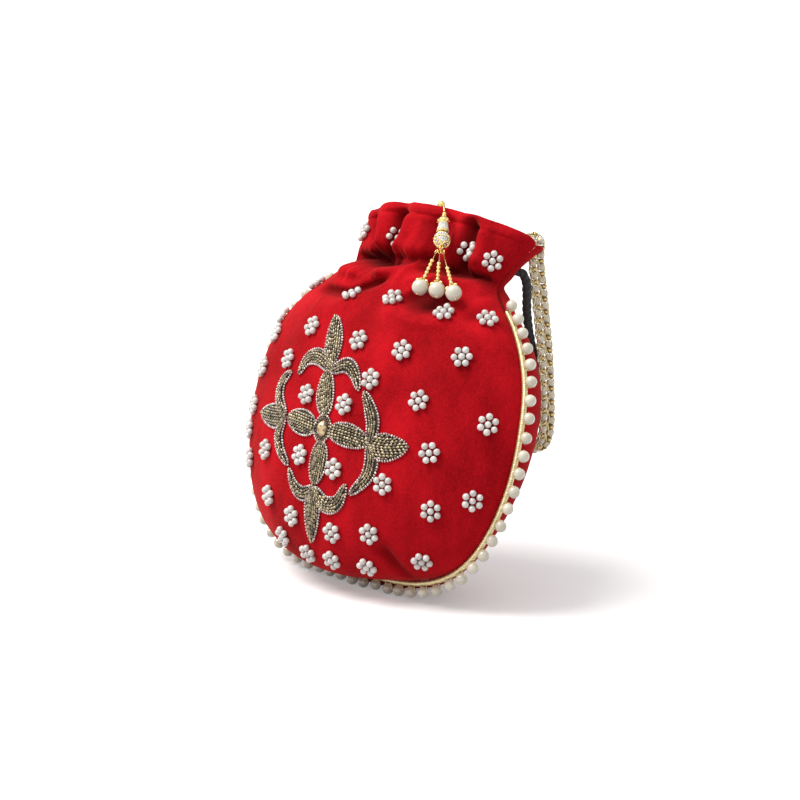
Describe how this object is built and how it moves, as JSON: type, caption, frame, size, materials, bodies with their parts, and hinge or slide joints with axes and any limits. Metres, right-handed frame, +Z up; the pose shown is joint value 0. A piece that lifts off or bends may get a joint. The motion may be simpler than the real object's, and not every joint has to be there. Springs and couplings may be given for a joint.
{
  "type": "potli bag",
  "caption": "Velvet drawstring pouch with a gathered neck and ruffle, pearl edging, bead flowers and motif, a beaded loop handle and a hanging latkan.",
  "frame": {"origin": "on the floor, at the middle of the flat on which the bag stands", "axes": "+Z up, +X to the right of the beaded front, -Y the way the front faces; the bag leans back as it does in the picture"},
  "size_m": [0.2164, 0.1224, 0.1994],
  "materials": {
    "velvet": "short pile, bright red with dark folds",
    "lining_cloth": "satin, dark red",
    "gold_braid": "twisted metallic thread",
    "cream_pearl": "pearl lustre, cream",
    "white_pearl": "pearl lustre, white",
    "bugle_bead": "old gold beads with a paler outline",
    "golden_stone": "clear golden brown",
    "gold_bead": "polished gold colour",
    "black_cord": "soft twisted cord"
  },
  "bodies": {
    "bag": {"front_panel": "velvet", "back_panel": "velvet", "lining": "lining_cloth", "seam_braid": "gold_braid", "pearl_edging": "cream_pearl", "motif_arm_top": "bugle_bead", "motif_arm_right": "bugle_bead", "motif_arm_bottom": "bugle_bead", "motif_arm_left": "bugle_bead", "centre_stone": "golden_stone", "latkan_knot_bead": "gold_bead", "handle_band": "cream_pearl", "drawstring": "black_cord", "drawstring_knot": "black_cord", "pearl_flower_01": "white_pearl", "pearl_flower_02": "white_pearl", "pearl_flower_03": "white_pearl", "pearl_flower_04": "white_pearl", "pearl_flower_05": "white_pearl", "pearl_flower_06": "white_pearl", "pearl_flower_07": "white_pearl", "pearl_flower_08": "white_pearl", "pearl_flower_09": "white_pearl", "pearl_flower_10": "white_pearl", "pearl_flower_11": "white_pearl", "pearl_flower_12": "white_pearl", "pearl_flower_13": "white_pearl", "pearl_flower_14": "white_pearl", "pearl_flower_15": "white_pearl", "pearl_flower_16": "white_pearl", "pearl_flower_17": "white_pearl", "pearl_flower_18": "white_pearl", "pearl_flower_19": "white_pearl", "pearl_flower_20": "white_pearl", "pearl_flower_21": "white_pearl", "pearl_flower_22": "white_pearl", "pearl_flower_23": "white_pearl", "pearl_flower_24": "white_pearl", "pearl_flower_25": "white_pearl", "pearl_flower_26": "white_pearl", "pearl_flower_27": "white_pearl", "pearl_flower_28": "white_pearl", "pearl_flower_29": "white_pearl", "pearl_flower_30": "white_pearl", "pearl_flower_31": "white_pearl", "pearl_flower_32": "white_pearl", "pearl_flower_33": "white_pearl", "pearl_flower_34": "white_pearl", "pearl_flower_35": "white_pearl", "pearl_flower_36": "white_pearl", "pearl_flower_37": "white_pearl", "pearl_flower_38": "white_pearl", "pearl_flower_39": "white_pearl", "pearl_flower_40": "white_pearl", "pearl_flower_41": "white_pearl"},
    "latkan": {"latkan_spindle": "gold_bead"},
    "strand_left": {"strand_left": "gold_bead"},
    "strand_middle": {"strand_middle": "gold_bead"},
    "strand_right": {"strand_right": "gold_bead"}
  },
  "joints": [
    {"name": "latkan_swing", "type": "hinge", "parent": "bag", "child": "latkan", "pos_m": [0.0195, 0.01439, 0.19453], "axis": [-0.9404, -0.33, 0.0823], "range_deg": [0, 100]},
    {"name": "strand_left_swing", "type": "hinge", "parent": "latkan", "child": "strand_left", "pos_m": [0.0311, 0.00141, 0.17695], "axis": [-0.9404, -0.33, 0.0823], "range_deg": [0, 50]},
    {"name": "strand_middle_swing", "type": "hinge", "parent": "latkan", "child": "strand_middle", "pos_m": [0.0326, 0.00193, 0.17682], "axis": [-0.9404, -0.33, 0.0823], "range_deg": [0, 50]},
    {"name": "strand_right_swing", "type": "hinge", "parent": "latkan", "child": "strand_right", "pos_m": [0.0341, 0.00246, 0.17669], "axis": [-0.9404, -0.33, 0.0823], "range_deg": [0, 50]}
  ]
}
